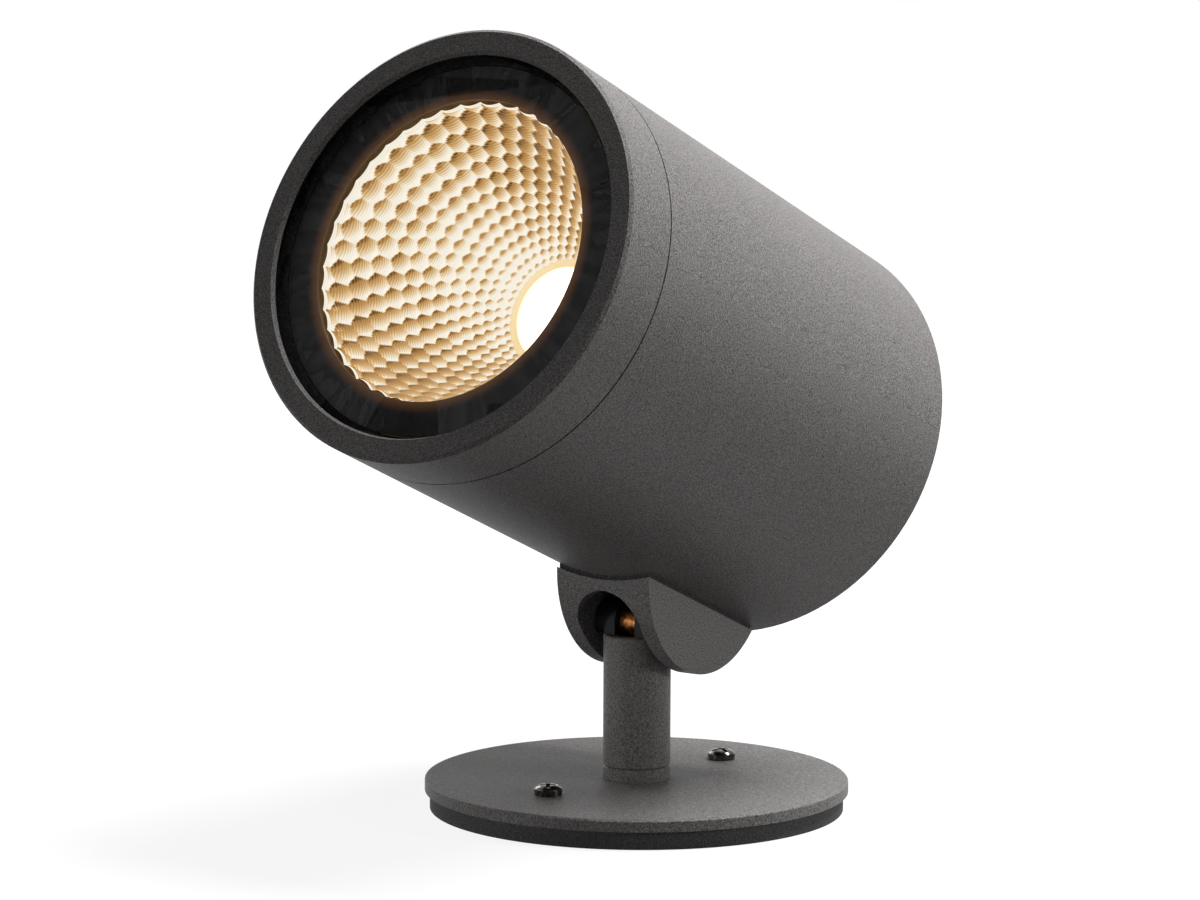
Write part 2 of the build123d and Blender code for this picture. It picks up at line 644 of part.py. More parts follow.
# Screws of the heat sink.
with BuildPart() as heat_sink_screws:
    with BuildSketch(section(SINK_DEPTH)):
        with PolarLocations(LEDGE_R + SMALL_HEAD_R + 0.6, 3, start_angle=90):
            Circle(SMALL_HEAD_R)
    extrude(amount=SMALL_HEAD_H)
    with BuildSketch(section(SINK_DEPTH)):
        with PolarLocations(LEDGE_R + SMALL_HEAD_R + 0.6, 3, start_angle=90):
            Circle(SMALL_SCREW_R - STEM_CLEAR)
    extrude(amount=-SINK_T - LEDGE_T + 0.4)
heat_sink_screws.part.label = "heat_sink_screws"
export_step(heat_sink_screws.part, "parts/heat_sink_screws.step")

# Driver box on the rear wall.
rear_inside = HEAD_LENGTH - REAR_WALL
with BuildPart() as led_driver:
    with BuildSketch(section(rear_inside)):
        Rectangle(FOOT_X, DRIVER_Y)
        with Locations((FOOT_X / 2 - 4, 0), (4 - FOOT_X / 2, 0)):
            Circle(SMALL_SCREW_R + HOLE_CLEAR, mode=Mode.SUBTRACT)
    extrude(amount=FOOT_T)
    with BuildSketch(section(rear_inside)):
        Rectangle(DRIVER_X, DRIVER_Y)
    extrude(amount=DRIVER_LENGTH)
led_driver.part.label = "led_driver"
export_step(led_driver.part, "parts/led_driver.step")

# Screws of the driver.
with BuildPart() as driver_screws:
    with BuildSketch(section(rear_inside - FOOT_T)):
        with Locations((FOOT_X / 2 - 4, 0), (4 - FOOT_X / 2, 0)):
            Circle(SMALL_HEAD_R)
    extrude(amount=SMALL_HEAD_H)
    with BuildSketch(section(rear_inside - FOOT_T)):
        with Locations((FOOT_X / 2 - 4, 0), (4 - FOOT_X / 2, 0)):
            Circle(SMALL_SCREW_R - STEM_CLEAR)
    extrude(amount=-FOOT_T - REAR_WALL + 1.6)
driver_screws.part.label = "driver_screws"
export_step(driver_screws.part, "parts/driver_screws.step")

# Rubber grommet where the cable enters the head from the knuckle.
inside_top = surface_height(INNER_R, 0)
with BuildPart() as cable_grommet:
    with BuildSketch(floor_plane(GROMMET_AT, PIVOT_GAP - 0.5)):
        Circle(GROMMET_R - 1.0)
        Circle(GROMMET_R - 2.2, mode=Mode.SUBTRACT)
    extrude(amount=inside_top - PIVOT_GAP + 2.2)
    with BuildSketch(floor_plane(GROMMET_AT, inside_top + 0.3)):
        Circle(GROMMET_R)
        Circle(GROMMET_R - 2.2, mode=Mode.SUBTRACT)
    extrude(amount=1.4)
cable_grommet.part.label = "cable_grommet"
export_step(cable_grommet.part, "parts/cable_grommet.step")
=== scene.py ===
import json
import math

import bpy
from mathutils import Matrix, Vector


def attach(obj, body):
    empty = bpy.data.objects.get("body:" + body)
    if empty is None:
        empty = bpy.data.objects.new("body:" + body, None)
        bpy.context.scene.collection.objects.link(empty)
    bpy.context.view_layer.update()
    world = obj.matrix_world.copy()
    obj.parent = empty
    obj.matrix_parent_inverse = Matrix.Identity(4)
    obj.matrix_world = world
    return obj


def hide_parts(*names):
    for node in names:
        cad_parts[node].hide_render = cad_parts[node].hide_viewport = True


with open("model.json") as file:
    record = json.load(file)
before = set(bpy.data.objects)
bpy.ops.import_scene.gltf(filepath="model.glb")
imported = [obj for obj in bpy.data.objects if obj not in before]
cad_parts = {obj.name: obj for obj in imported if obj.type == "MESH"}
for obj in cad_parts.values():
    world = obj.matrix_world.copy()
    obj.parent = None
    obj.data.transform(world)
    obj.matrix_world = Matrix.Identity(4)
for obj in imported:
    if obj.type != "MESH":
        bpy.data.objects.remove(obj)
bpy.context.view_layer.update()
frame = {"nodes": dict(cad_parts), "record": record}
nodes = frame["nodes"]
scene = bpy.context.scene

# Sizes are in millimetres, unless a comment says metres. This is one millimetre in Blender's metres.
MM = 0.001

# Place of the head, as in the solid model.
TILT = math.radians(22.9)
PIVOT_HEIGHT = 48.5
HEAD_ABOVE_PIVOT = 62.4
HEAD_FRONT = 118.7

# Directions of the head, and the point of its axis that lies over the pivot, in metres.
AHEAD = Vector((0, -math.cos(TILT), math.sin(TILT)))
ABOVE = Vector((0, math.sin(TILT), math.cos(TILT)))
SIDE = Vector((1, 0, 0))
HEAD_CENTRE = Vector((0, 0, PIVOT_HEIGHT * MM)) + ABOVE * (HEAD_ABOVE_PIVOT * MM)

# Reflector bowl: radii, and depths behind the front of the head.
RIM_R = 38.8
RIM_DEPTH = 6.6
THROAT_R = 15.0
THROAT_DEPTH = 54.4
BOWL_WALL = 1.8
LIP_GAP = 0.1
LIP_WIDTH = 0.4
LIP_RISE = 0.4
FLANGE_R = 47.0
FLANGE_FRONT = 5.15
FLANGE_BACK = 7.8

# Facets: how many round the bowl and along it, and the mesh steps across each.
FACETS = 42
ROWS = 13
FINE = 12

# Mesh of the bowl: steps that measure its length, then steps round its back and rings along it.
BOWL_STEPS = 400
BACK_AROUND = 168
BACK_RINGS = 24

# Shape of a facet: row height and pillow in facet widths, slant of a hexagon's sides, scallops of the rim.
ROW_PITCH = 0.9
PILLOW = 0.16
HEX_SLANT = 0.866
SCALLOP = 0.36

# Tone of a facet's painted reflection, from nought for dark to one for white, and the turns where that
# painted reflection is lit and brightest.
LIT_TURN = math.radians(-40)
BRIGHTEST_REFLECTION_TURN = math.radians(155)
BRIGHTEST_REFLECTION_POWER = 2.5
TONE_START = 0.25
TONE_BRIGHTEST_REFLECTION = 0.62
TONE_SLOPE = 0.92
TONE_SPECK = 0.18
TONE_THROAT = 0.36
TONE_LEAST = 0.1
SIDE_START = 0.36
DARK_SIDE = 0.16
LIT_SIDE = 0.06
LIT_SIDE_BRIGHTEST_REFLECTION = 0.22

# Factors that spread a facet's row and column into an even scatter.
SPECK_COLUMN = 12.9898
SPECK_ROW = 78.233
SPECK_SPREAD = 43758.5453

# Colours of the reflector's painted reflection, along its tones.
PAINTED_REFLECTION_DARK = (0.004, 0.002, 0.001, 1)
PAINTED_REFLECTION_WHITE = (1.0, 0.96, 0.88, 1)
PAINTED_REFLECTION_TONES = (
    (0.1, (0.13, 0.06, 0.02, 1)),
    (0.3, (0.37, 0.18, 0.055, 1)),
    (0.55, (0.58, 0.33, 0.115, 1)),
    (0.8, (0.86, 0.68, 0.45, 1)),
)

# Black mask behind the glass, and the radii between which its painted warm glow fades out.
MASK_BLACK = (0.034, 0.032, 0.036)
MASK_PAINTED_GLOW = (0.08, 0.034, 0.011)
PAINTED_GLOW_INNER = 37.5
PAINTED_GLOW_OUTER = 42.0

# Fixing screws: each one's turn about the post and the turn of its cross, in degrees, then their sizes.
SCREW_TURNS = ((82.0, 62.0), (262.0, 35.0))
SCREW_CIRCLE_R = 33.0
SCREW_R = 2.0
SCREW_FOOT = 0.6
SCREW_HEAD_R = 3.65
SCREW_HEAD_H = 2.7
PLATE_TOP = 7.8

# Crown of a screw head: share of the height that its edge lies lower, steepness, and the tuck at its foot.
CROWN_DROP = 0.42
CROWN_POWER = 4.0
HEAD_TUCK = 0.97

# Mesh of a screw: rings over its head, steps round it, radius of the first ring, and angle that stays sharp.
SCREW_RINGS = 40
SCREW_AROUND = 144
RING_START = 0.02
SHARP_ANGLE = math.radians(38)

# Cross recess of a screw head: reach, depth, half width in the middle, narrowing of its arms, and how late
# its floor rises to the end of an arm.
CROSS_R = 2.9
CROSS_DEPTH = 1.3
CROSS_HALF = 0.6
CROSS_TAPER = 0.08
CROSS_POWER = 3

# Small rounded edges that catch the light on the cast and turned pieces.
ROUNDED_EDGES = {"knuckle": 0.4, "post": 0.2}
ROUNDED_ANGLE = math.radians(40)

# Floor and surround, in metres: the floor glows a little less near the object, so that its shadow shows.
FLOOR_REACH = 6.0
FLOOR_GREY = (0.13, 0.13, 0.13, 1)
FLOOR_GLOW = 0.88
SHADOW_NEAR = 0.12
SHADOW_FAR = 0.4
SKY_LIGHT = 0.025

# Lamps, in metres, watts and degrees.
SOFTBOXES = (
    dict(name="top", place=(0.35, 0.4, 1.25), target=(0, 0, 0.12), size=0.7, power=34.5),
    dict(name="right", place=(1.3, 0.35, 0.4), target=(0, 0, 0.08), size=0.35, power=7.2),
    dict(name="left", place=(-1.05, 0.45, 0.7), target=(0, 0, 0.04), size=0.5, power=3.4),
    dict(name="low", place=(-0.38, -0.6, 0.08), target=(0, -0.03, 0.03), size=0.06, power=0.013, spread=15.0),
)

# Camera fitted to the photo: place in metres, and focal length in pixels of the photo's width.
CAMERA_PLACE = (0.666946, -0.954268, 0.243516)
CAMERA_YAW = math.radians(-35.436)
CAMERA_PITCH = math.radians(-7.354)
CAMERA_ROLL = math.radians(0.2636)
FOCAL_PIXELS = 4558.394
PHOTO_WIDTH = 1200.0
SENSOR_WIDTH = 36.0


def set_inputs(node, values):
    """Set a node's sockets by name."""
    for socket, value in values.items():
        node.inputs[socket].default_value = value


def new_material(name):
    """Empty material, the calls that add and link its nodes, and the socket of its surface."""
    material = bpy.data.materials.new(name)
    material.use_nodes = True
    tree = material.node_tree
    tree.nodes.clear()
    output = tree.nodes.new("ShaderNodeOutputMaterial")
    return material, tree.nodes.new, tree.links.new, output.inputs["Surface"]


def grain_group():
    """Fine speckle of a powder coat: a brightness factor and a bump height."""
    group = bpy.data.node_groups.new("grain", "ShaderNodeTree")
    group.interface.new_socket("Fineness", in_out="INPUT", socket_type="NodeSocketFloat")
    group.interface.new_socket("Factor", in_out="OUTPUT", socket_type="NodeSocketFloat")
    group.interface.new_socket("Height", in_out="OUTPUT", socket_type="NodeSocketFloat")
    add = group.nodes.new
    link = group.links.new
    enter = add("NodeGroupInput")
    leave = add("NodeGroupOutput")
    where = add("ShaderNodeTexCoord")
    fine = add("ShaderNodeTexNoise")
    coarse = add("ShaderNodeTexNoise")
    for noise in (fine, coarse):
        link(where.outputs["Object"], noise.inputs["Vector"])
        set_inputs(noise, {"Detail": 2.0})
    link(enter.outputs["Fineness"], fine.inputs["Scale"])
    set_inputs(coarse, {"Scale": 60.0})
    spread = add("ShaderNodeMapRange")
    set_inputs(spread, {"From Min": 0.32, "From Max": 0.72, "To Min": 0.38, "To Max": 1.8})
    link(fine.outputs["Fac"], spread.inputs["Value"])
    patch = add("ShaderNodeMapRange")
    set_inputs(patch, {"To Min": 0.93, "To Max": 1.07})
    link(coarse.outputs["Fac"], patch.inputs["Value"])
    both = add("ShaderNodeMath")
    both.operation = "MULTIPLY"
    link(spread.outputs["Result"], both.inputs[0])
    link(patch.outputs["Result"], both.inputs[1])
    link(both.outputs[0], leave.inputs["Factor"])
    link(fine.outputs["Fac"], leave.inputs["Height"])
    return group


GRAIN = grain_group()


def grained(name, colour, roughness, fine, bump, metallic=0.0, specular=0.4):
    """Finish with a speckle in its colour and its surface, which grows finer with its fineness."""
    material, add, link, surface = new_material(name)
    shader = add("ShaderNodeBsdfPrincipled")
    set_inputs(shader, {"Roughness": roughness, "Metallic": metallic, "Specular IOR Level": specular})
    grain = add("ShaderNodeGroup")
    grain.node_tree = GRAIN
    set_inputs(grain, {"Fineness": fine})
    scale = add("ShaderNodeVectorMath")
    scale.operation = "SCALE"
    scale.inputs[0].default_value = colour
    link(grain.outputs["Factor"], scale.inputs["Scale"])
    link(scale.outputs["Vector"], shader.inputs["Base Color"])
    raised = add("ShaderNodeBump")
    set_inputs(raised, {"Strength": bump, "Distance": 0.2 * MM})
    link(grain.outputs["Height"], raised.inputs["Height"])
    link(raised.outputs["Normal"], shader.inputs["Normal"])
    link(shader.outputs["BSDF"], surface)
    return material


def black_with_painted_glow():
    """Smooth black of the mask, with a painted warm glow that fades out from the edge of its hole."""
    material, add, link, surface = new_material("gloss_black")
    shader = add("ShaderNodeBsdfPrincipled")
    set_inputs(shader, {"Base Color": (*MASK_BLACK, 1), "Roughness": 0.45, "Specular IOR Level": 0.2})
    set_inputs(shader, {"Emission Strength": 1.0})
    where = add("ShaderNodeTexCoord")
    # The distance from the head's axis is the length of the offset crossed with the axis.
    offset = add("ShaderNodeVectorMath")
    offset.operation = "SUBTRACT"
    offset.inputs[1].default_value = HEAD_CENTRE
    across = add("ShaderNodeVectorMath")
    across.operation = "CROSS_PRODUCT"
    across.inputs[1].default_value = AHEAD
    radius = add("ShaderNodeVectorMath")
    radius.operation = "LENGTH"
    fade = add("ShaderNodeMapRange")
    fade.interpolation_type = "SMOOTHSTEP"
    set_inputs(fade, {"From Min": PAINTED_GLOW_INNER * MM, "From Max": PAINTED_GLOW_OUTER * MM, "To Min": 1.0, "To Max": 0.0})
    tint = add("ShaderNodeVectorMath")
    tint.operation = "SCALE"
    tint.inputs[0].default_value = MASK_PAINTED_GLOW
    link(where.outputs["Object"], offset.inputs[0])
    link(offset.outputs["Vector"], across.inputs[0])
    link(across.outputs["Vector"], radius.inputs[0])
    link(radius.outputs["Value"], fade.inputs["Value"])
    link(fade.outputs["Result"], tint.inputs["Scale"])
    link(tint.outputs["Vector"], shader.inputs["Emission Color"])
    link(shader.outputs["BSDF"], surface)
    return material


def lit(name, base, glow, strength):
    """Plain finish that gives off light."""
    material, add, link, surface = new_material(name)
    shader = add("ShaderNodeBsdfPrincipled")
    set_inputs(shader, {"Base Color": (*base, 1), "Roughness": 0.5})
    set_inputs(shader, {"Emission Color": (*glow, 1), "Emission Strength": strength})
    link(shader.outputs["BSDF"], surface)
    return material


def clear_glass():
    """Thin clear pane: sees straight through, with a faint mirror at grazing angles."""
    material, add, link, surface = new_material("clear_glass")
    through = add("ShaderNodeBsdfTransparent")
    set_inputs(through, {"Color": (0.97, 0.98, 0.97, 1)})
    mirror = add("ShaderNodeBsdfGlossy")
    set_inputs(mirror, {"Roughness": 0.02})
    edge = add("ShaderNodeLayerWeight")
    graze = add("ShaderNodeMapRange")
    set_inputs(graze, {"From Min": 0.5, "To Max": 0.4})
    mix = add("ShaderNodeMixShader")
    link(edge.outputs["Facing"], graze.inputs["Value"])
    link(graze.outputs["Result"], mix.inputs["Fac"])
    link(through.outputs["BSDF"], mix.inputs[1])
    link(mirror.outputs["BSDF"], mix.inputs[2])
    link(mix.outputs["Shader"], surface)
    return material


def reflector_with_painted_reflection():
    """Metallised facets with fine lines, and a painted reflection of the light source that glows warm in
    them.
    """
    material, add, link, surface = new_material("reflector_metal")
    shader = add("ShaderNodeBsdfPrincipled")
    set_inputs(shader, {"Base Color": (0.07, 0.048, 0.026, 1), "Metallic": 1.0, "Roughness": 0.3})
    set_inputs(shader, {"Emission Strength": 0.95})
    # The tone stored on each point is a painted reflection, given off as emission.
    shade = add("ShaderNodeAttribute")
    shade.attribute_name = "facet"
    ramp = add("ShaderNodeValToRGB")
    ramp.color_ramp.elements[0].color = PAINTED_REFLECTION_DARK
    ramp.color_ramp.elements[1].color = PAINTED_REFLECTION_WHITE
    for place, colour in PAINTED_REFLECTION_TONES:
        ramp.color_ramp.elements.new(place).color = colour
    chart = add("ShaderNodeUVMap")
    chart.uv_map = "facets"
    lines = add("ShaderNodeTexWave")
    lines.bands_direction = "Y"
    set_inputs(lines, {"Scale": 2.5, "Distortion": 0.8})
    dim = add("ShaderNodeMapRange")
    set_inputs(dim, {"To Min": -0.09, "To Max": 0.09})
    tone = add("ShaderNodeMath")
    tone.operation = "ADD"
    raised = add("ShaderNodeBump")
    set_inputs(raised, {"Strength": 0.2, "Distance": 0.1 * MM})
    link(chart.outputs["UV"], lines.inputs["Vector"])
    link(lines.outputs["Fac"], dim.inputs["Value"])
    link(shade.outputs["Fac"], tone.inputs[0])
    link(dim.outputs["Result"], tone.inputs[1])
    link(tone.outputs[0], ramp.inputs["Fac"])
    link(ramp.outputs["Color"], shader.inputs["Emission Color"])
    link(lines.outputs["Fac"], raised.inputs["Height"])
    link(raised.outputs["Normal"], shader.inputs["Normal"])
    link(shader.outputs["BSDF"], surface)
    return material


# Finishes with a speckle, by material slot.
GRAINED = {
    "powder_coat": dict(colour=(0.128, 0.122, 0.119), roughness=0.5, fine=2500.0, bump=0.5, specular=0.12),
    "pad_rubber": dict(colour=(0.052, 0.051, 0.052), roughness=0.7, fine=3400.0, bump=0.1, specular=0.12),
    "seal_rubber": dict(colour=(0.026, 0.026, 0.026), roughness=0.8, fine=1500.0, bump=0.1, specular=0.2),
    "dark_nickel": dict(colour=(0.085, 0.077, 0.069), roughness=0.2, fine=900.0, bump=0.03, metallic=1.0),
    "zinc_steel": dict(colour=(0.55, 0.55, 0.55), roughness=0.35, fine=900.0, bump=0.05, metallic=1.0),
    "black_steel": dict(colour=(0.004, 0.004, 0.004), roughness=0.6, fine=1500.0, bump=0.1, specular=0.15),
    "black_plastic": dict(colour=(0.004, 0.004, 0.004), roughness=0.6, fine=1500.0, bump=0.1, specular=0.15),
    "brass": dict(colour=(0.17, 0.072, 0.024), roughness=0.45, fine=900.0, bump=0.05, metallic=1.0),
    "led_board": dict(colour=(0.8, 0.8, 0.76), roughness=0.5, fine=900.0, bump=0.05),
    "bare_aluminium": dict(colour=(0.6, 0.6, 0.61), roughness=0.4, fine=900.0, bump=0.1, metallic=1.0),
    "driver_plastic": dict(colour=(0.55, 0.55, 0.54), roughness=0.5, fine=900.0, bump=0.1),
}
MATERIALS = {name: grained(name, **finish) for name, finish in GRAINED.items()}
MATERIALS["clear_glass"] = clear_glass()
MATERIALS["gloss_black"] = black_with_painted_glow()
MATERIALS["reflector_metal"] = reflector_with_painted_reflection()
# Painted glow: the cream plastic gives off warm light, though it is no lamp.
MATERIALS["cream_plastic"] = lit("cream_plastic", base=(0.9, 0.8, 0.6), glow=(1.0, 0.78, 0.45), strength=0.55)
MATERIALS["led_emitter"] = lit("led_emitter", base=(0.9, 0.85, 0.7), glow=(1.0, 0.93, 0.8), strength=2.2)


def dress_nodes():
    """Give each CAD node the material of its slot."""
    for part in frame["record"]["subparts"]:
        node = nodes[part["node"]]
        node.data.materials.clear()
        node.data.materials.append(MATERIALS[part["material_slot"]])


def round_edges():
    """Small rounded edges, as modifiers."""
    for name, width in ROUNDED_EDGES.items():
        soft = nodes[name].modifiers.new("rounded_edges", "BEVEL")
        soft.width = width * MM
        soft.segments = 2
        soft.limit_method = "ANGLE"
        soft.angle_limit = ROUNDED_ANGLE


def head_point(radius, turn, depth):
    """World point from a radius, a turn about the head's axis and a depth behind its front."""
    spot = HEAD_CENTRE + AHEAD * ((HEAD_FRONT - depth) * MM)
    return spot + SIDE * (radius * MM * math.cos(turn)) + ABOVE * (radius * MM * math.sin(turn))


def ring_quads(start, rings, around, inward=False):
    """Quads between rings of points that follow each other, facing the axis where inward."""
    quads = []
    for ring in range(rings - 1):
        low = start + ring * around
        high = low + around
        for a in range(around):
            c = (a + 1) % around
            if inward:
                quads.append((low + a, low + c, high + c, high + a))
            else:
                quads.append((low + a, high + a, high + c, low + c))
    return quads


def new_piece(name, points, faces, slot):
    """Smooth-shaded object in the material of a slot."""
    mesh = bpy.data.meshes.new(name)
    mesh.from_pydata(points, [], faces)
    for polygon in mesh.polygons:
        polygon.use_smooth = True
    mesh.materials.append(MATERIALS[slot])
    piece = bpy.data.objects.new(name, mesh)
    scene.collection.objects.link(piece)
    return piece


def bowl_radius(depth):
    """Radius of the reflector's parabola at a depth."""
    share = (THROAT_DEPTH - depth) / (THROAT_DEPTH - RIM_DEPTH)
    return math.sqrt(THROAT_R ** 2 + (RIM_R ** 2 - THROAT_R ** 2) * share)


def bowl_depth(share):
    """Depth at a share of the way from the throat to the rim."""
    return THROAT_DEPTH + (RIM_DEPTH - THROAT_DEPTH) * share


def ring_depths(count):
    """Depths from throat to rim in equal steps of length over radius, which keep facets in proportion."""
    reach = [0.0]
    for step in range(BOWL_STEPS):
        near = bowl_depth(step / BOWL_STEPS)
        far = bowl_depth((step + 1) / BOWL_STEPS)
        near_r = bowl_radius(near)
        far_r = bowl_radius(far)
        reach.append(reach[-1] + math.hypot(far - near, far_r - near_r) / ((near_r + far_r) / 2))
    depths = []
    step = 0
    for ring in range(count + 1):
        target = reach[-1] * ring / count
        while step < BOWL_STEPS - 1 and reach[step + 1] < target:
            step += 1
        part = (target - reach[step]) / (reach[step + 1] - reach[step])
        depths.append(bowl_depth((step + part) / BOWL_STEPS))
    return depths


def hex_place(across, along):
    """Distance to and offset from the nearest hexagon's centre, in facet widths, and its row and column."""
    best = None
    for row in (math.floor(along), math.floor(along) + 1):
        shift = 0.5 * (row % 2)
        column = round(across - shift)
        dx = across - shift - column
        dy = (along - row) * ROW_PITCH
        # The largest of three slanted distances belongs to the hexagon's nearest side.
        slanted = (dx, 0.5 * dx + HEX_SLANT * dy, 0.5 * dx - HEX_SLANT * dy)
        edge = max(abs(distance) for distance in slanted)
        if best is None or edge < best[0]:
            best = (edge, dx, dy, row, column % FACETS)
    return best


def painted_facet_reflection(dx, dy, row, column, turn, height):
    """Tone of the painted reflection at an offset from a facet's centre. Height runs from nought at the
    throat to one at the rim.
    """
    speck = math.sin(column * SPECK_COLUMN + row * SPECK_ROW) * SPECK_SPREAD
    speck -= math.floor(speck)
    # Painted reflection: each facet is bright on its lower right and brown on its upper left.
    toward = dx * math.sin(LIT_TURN - turn) + dy * math.cos(LIT_TURN - turn)
    brightest_reflection = (0.5 + 0.5 * math.cos(turn - BRIGHTEST_REFLECTION_TURN)) ** BRIGHTEST_REFLECTION_POWER
    tone = TONE_START + TONE_BRIGHTEST_REFLECTION * brightest_reflection + TONE_SLOPE * toward + TONE_SPECK * (speck - 0.5)
    # The painted reflection grows brighter towards the throat.
    tone += TONE_THROAT * (1 - height) ** 2
    if toward < -SIDE_START:
        tone -= DARK_SIDE
    elif toward > SIDE_START:
        tone += LIT_SIDE + LIT_SIDE_BRIGHTEST_REFLECTION * brightest_reflection
    return min(1.0, max(TONE_LEAST, tone))


def reflector_back():
    """Radii and depths of the flange and the smooth back, from the rim to the throat."""
    outline = [
        (RIM_R + LIP_GAP, RIM_DEPTH - LIP_RISE),
        (RIM_R + LIP_WIDTH, FLANGE_FRONT),
        (FLANGE_R, FLANGE_FRONT),
        (FLANGE_R, FLANGE_BACK),
        (RIM_R + BOWL_WALL, FLANGE_BACK),
    ]
    for ring in range(1, BACK_RINGS + 1):
        depth = FLANGE_BACK + (THROAT_DEPTH - FLANGE_BACK) * ring / BACK_RINGS
        outline.append((bowl_radius(depth) + BOWL_WALL, depth))
    outline.append((THROAT_R, THROAT_DEPTH))
    return outline


def make_reflector():
    """Bowl of pillowed hexagons with a scalloped rim, a flange and a smooth back."""
    around = FACETS * FINE
    up = ROWS * FINE
    points = []
    reflection_tones = []
    for b, depth in enumerate(ring_depths(up)):
        radius = bowl_radius(depth)
        width = 2 * math.pi * radius / FACETS
        for a in range(around):
            turn = 2 * math.pi * a / around
            edge, dx, dy, row, column = hex_place(a / FINE, b / FINE)
            pillow = PILLOW * width * max(0.0, 1 - (2 * edge) ** 2)
            rise = 0.0
            if b == up:
                rise = SCALLOP * abs(math.cos(math.pi * (a / FINE + 0.5 * (ROWS % 2))))
            points.append(head_point(radius - pillow, turn, depth - rise))
            # The last rings are the rim's painted highlight.
            reflection_tones.append(1.0 if b >= up - 1 else painted_facet_reflection(dx, dy, row, column, turn, b / up))
    faces = ring_quads(0, up + 1, around, inward=True)
    back = reflector_back()
    faces += ring_quads(len(points), len(back), BACK_AROUND, inward=True)
    for radius, depth in back:
        for a in range(BACK_AROUND):
            points.append(head_point(radius, 2 * math.pi * a / BACK_AROUND, depth))
            reflection_tones.append(0.0)
    piece = new_piece("reflector_facets", points, faces, "reflector_metal")
    mesh = piece.data
    # The map counts facets round and along the bowl, and runs past one turn at the join.
    chart = mesh.uv_layers.new(name="facets")
    for polygon in mesh.polygons[:around * up]:
        a = polygon.index % around
        b = polygon.index // around
        for loop, (da, db) in zip(polygon.loop_indices, ((0, 0), (1, 0), (1, 1), (0, 1))):
            chart.data[loop].uv = ((a + da) / FINE, (b + db) / FINE)
    layer = mesh.attributes.new("facet", "FLOAT", "POINT")
    layer.data.foreach_set("value", reflection_tones)
    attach(piece, "head")
    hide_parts("reflector")


def cross_cut(x, y):
    """Depth of the cross recess at a point of a screw head."""
    radius = math.hypot(x, y)
    half = CROSS_HALF - CROSS_TAPER * radius
    if radius >= CROSS_R or min(abs(x), abs(y)) > half:
        return 0.0
    return CROSS_DEPTH * (1 - (radius / CROSS_R) ** CROSS_POWER)


def screw_outline():
    """Rings from a screw's crown to its foot: radius, height, and whether the cross may cut there."""
    rings = []
    for ring in range(SCREW_RINGS + 1):
        radius = RING_START + (SCREW_HEAD_R - RING_START) * ring / SCREW_RINGS
        drop = CROWN_DROP * (radius / SCREW_HEAD_R) ** CROWN_POWER
        rings.append((radius, PLATE_TOP + SCREW_HEAD_H * (1 - drop), True))
    rings.append((SCREW_HEAD_R * HEAD_TUCK, PLATE_TOP, False))
    rings.append((SCREW_R, PLATE_TOP, False))
    rings.append((SCREW_R, SCREW_FOOT, False))
    rings.append((RING_START, SCREW_FOOT, False))
    return rings


def make_screws():
    """Two rounded pan heads with a cross recess, on plain shanks."""
    outline = screw_outline()
    points = []
    faces = []
    for place, cross in SCREW_TURNS:
        middle = Matrix.Rotation(math.radians(place), 3, "Z") @ Vector((SCREW_CIRCLE_R, 0, 0))
        spin = Matrix.Rotation(math.radians(cross), 3, "Z")
        start = len(points)
        for radius, height, crossed in outline:
            for a in range(SCREW_AROUND):
                turn = 2 * math.pi * a / SCREW_AROUND
                x = radius * math.cos(turn)
                y = radius * math.sin(turn)
                cut = cross_cut(x, y) if crossed else 0.0
                points.append((middle + spin @ Vector((x, y, height - cut))) * MM)
        faces += ring_quads(start, len(outline), SCREW_AROUND)
        faces.append([start + a for a in range(SCREW_AROUND)])
        faces.append([len(points) - 1 - a for a in range(SCREW_AROUND)])
    piece = new_piece("cross_head_screws", points, faces, "dark_nickel")
    piece.data.set_sharp_from_angle(angle=SHARP_ANGLE)
    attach(piece, "base")
    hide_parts("base_screws")


def background_mask(add, link):
    """One where a ray comes from the camera, a mirror or glass, and nought for the light on the object."""
    path = add("ShaderNodeLightPath")
    first = add("ShaderNodeMath")
    second = add("ShaderNodeMath")
    for larger in (first, second):
        larger.operation = "MAXIMUM"
    link(path.outputs["Is Camera Ray"], first.inputs[0])
    link(path.outputs["Is Glossy Ray"], first.inputs[1])
    link(first.outputs[0], second.inputs[0])
    link(path.outputs["Is Transmission Ray"], second.inputs[1])
    return second.outputs[0]


def pale_floor():
    """Matt grey that takes the shadow, under a white glow that only background rays see."""
    material, add, link, surface = new_material("pale_floor")
    matt = add("ShaderNodeBsdfDiffuse")
    set_inputs(matt, {"Color": FLOOR_GREY})
    glow = add("ShaderNodeEmission")
    both = add("ShaderNodeAddShader")
    where = add("ShaderNodeTexCoord")
    away = add("ShaderNodeVectorMath")
    away.operation = "LENGTH"
    fade = add("ShaderNodeMapRange")
    set_inputs(fade, {"From Min": SHADOW_NEAR, "From Max": SHADOW_FAR, "To Min": FLOOR_GLOW, "To Max": 1.0})
    level = add("ShaderNodeMath")
    level.operation = "MULTIPLY"
    link(where.outputs["Object"], away.inputs[0])
    link(away.outputs["Value"], fade.inputs["Value"])
    link(background_mask(add, link), level.inputs[0])
    link(fade.outputs["Result"], level.inputs[1])
    link(level.outputs[0], glow.inputs["Strength"])
    link(matt.outputs["BSDF"], both.inputs[0])
    link(glow.outputs["Emission"], both.inputs[1])
    link(both.outputs["Shader"], surface)
    return material


def make_floor():
    """Wide flat floor under the object."""
    corners = [(x * FLOOR_REACH, y * FLOOR_REACH, 0) for x, y in ((-1, -1), (1, -1), (1, 1), (-1, 1))]
    mesh = bpy.data.meshes.new("floor")
    mesh.from_pydata(corners, [], [(0, 1, 2, 3)])
    mesh.materials.append(pale_floor())
    floor = bpy.data.objects.new("floor", mesh)
    scene.collection.objects.link(floor)


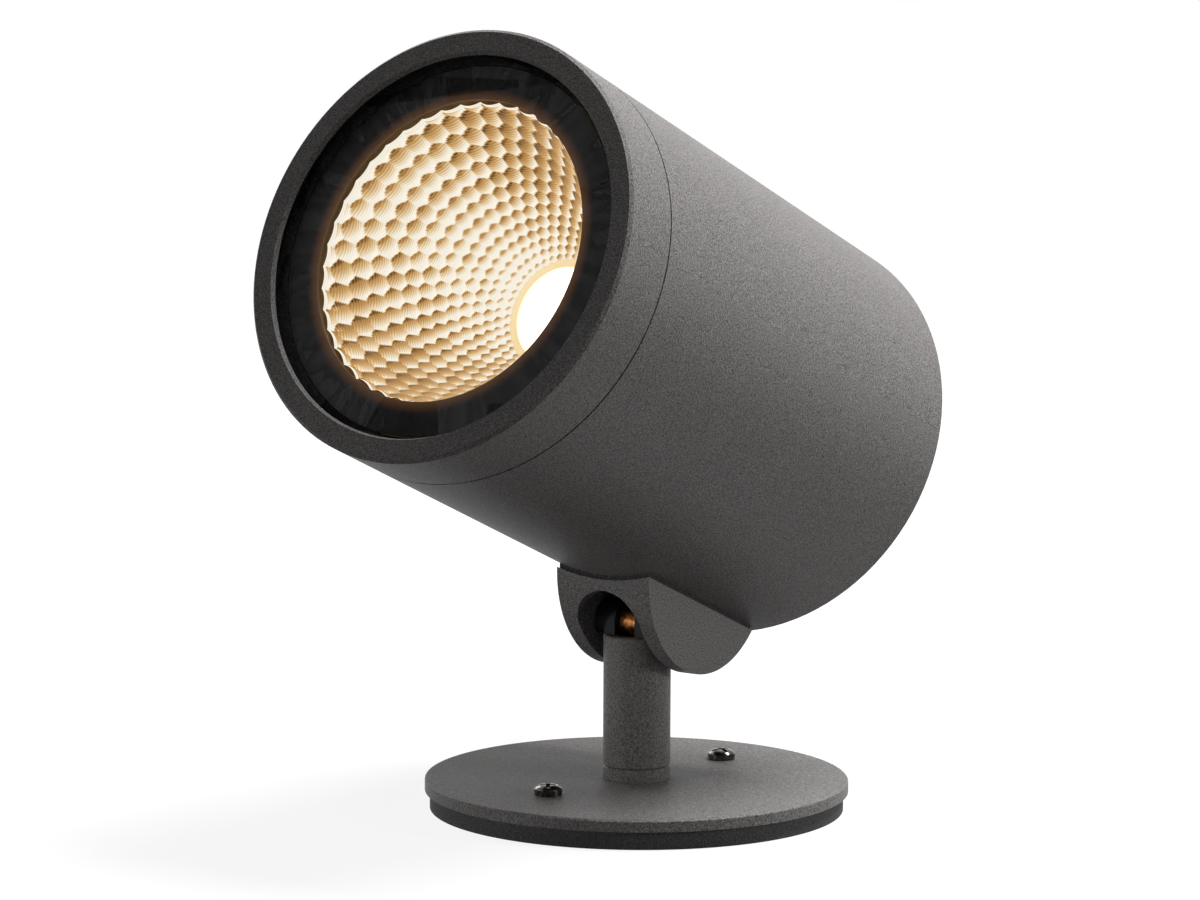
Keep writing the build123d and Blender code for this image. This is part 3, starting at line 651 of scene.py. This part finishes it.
def make_surround():
    """White surround, far dimmer as a light on the object."""
    world = bpy.data.worlds.new("studio")
    scene.world = world
    world.use_nodes = True
    tree = world.node_tree
    tree.nodes.clear()
    add = tree.nodes.new
    link = tree.links.new
    dim = add("ShaderNodeBackground")
    set_inputs(dim, {"Color": (1, 0.99, 0.98, 1), "Strength": SKY_LIGHT})
    white = add("ShaderNodeBackground")
    set_inputs(white, {"Color": (1, 1, 1, 1)})
    pick = add("ShaderNodeMixShader")
    output = add("ShaderNodeOutputWorld")
    link(background_mask(add, link), pick.inputs["Fac"])
    link(dim.outputs["Background"], pick.inputs[1])
    link(white.outputs["Background"], pick.inputs[2])
    link(pick.outputs["Shader"], output.inputs["Surface"])


def make_softbox(name, place, target, size, power, spread=180.0):
    """Round soft lamp that faces its target."""
    lamp_data = bpy.data.lights.new(name, "AREA")
    lamp_data.shape = "DISK"
    lamp_data.size = size
    lamp_data.energy = power
    lamp_data.spread = math.radians(spread)
    lamp = bpy.data.objects.new(name, lamp_data)
    scene.collection.objects.link(lamp)
    lamp.location = place
    lamp.rotation_euler = (Vector(target) - Vector(place)).to_track_quat("-Z", "Y").to_euler()


def make_camera():
    """Camera at the photo's viewing angle."""
    ahead = Vector((math.sin(CAMERA_YAW), math.cos(CAMERA_YAW), 0)) * math.cos(CAMERA_PITCH)
    ahead.z = math.sin(CAMERA_PITCH)
    level = Vector((math.cos(CAMERA_YAW), -math.sin(CAMERA_YAW), 0))
    upright = level.cross(ahead)
    right = level * math.cos(CAMERA_ROLL) + upright * math.sin(CAMERA_ROLL)
    top = upright * math.cos(CAMERA_ROLL) - level * math.sin(CAMERA_ROLL)
    camera_data = bpy.data.cameras.new("camera")
    camera_data.sensor_width = SENSOR_WIDTH
    camera_data.lens = SENSOR_WIDTH * FOCAL_PIXELS / PHOTO_WIDTH
    camera_data.clip_start = 0.05
    camera_data.clip_end = 20.0
    camera = bpy.data.objects.new("camera", camera_data)
    scene.collection.objects.link(camera)
    turned = Matrix((right, top, -ahead)).transposed().to_4x4()
    camera.matrix_world = Matrix.Translation(CAMERA_PLACE) @ turned
    scene.camera = camera


dress_nodes()
round_edges()
make_reflector()
make_screws()
make_floor()
make_surround()
for softbox in SOFTBOXES:
    make_softbox(**softbox)
make_camera()
scene.view_settings.view_transform = "Standard"
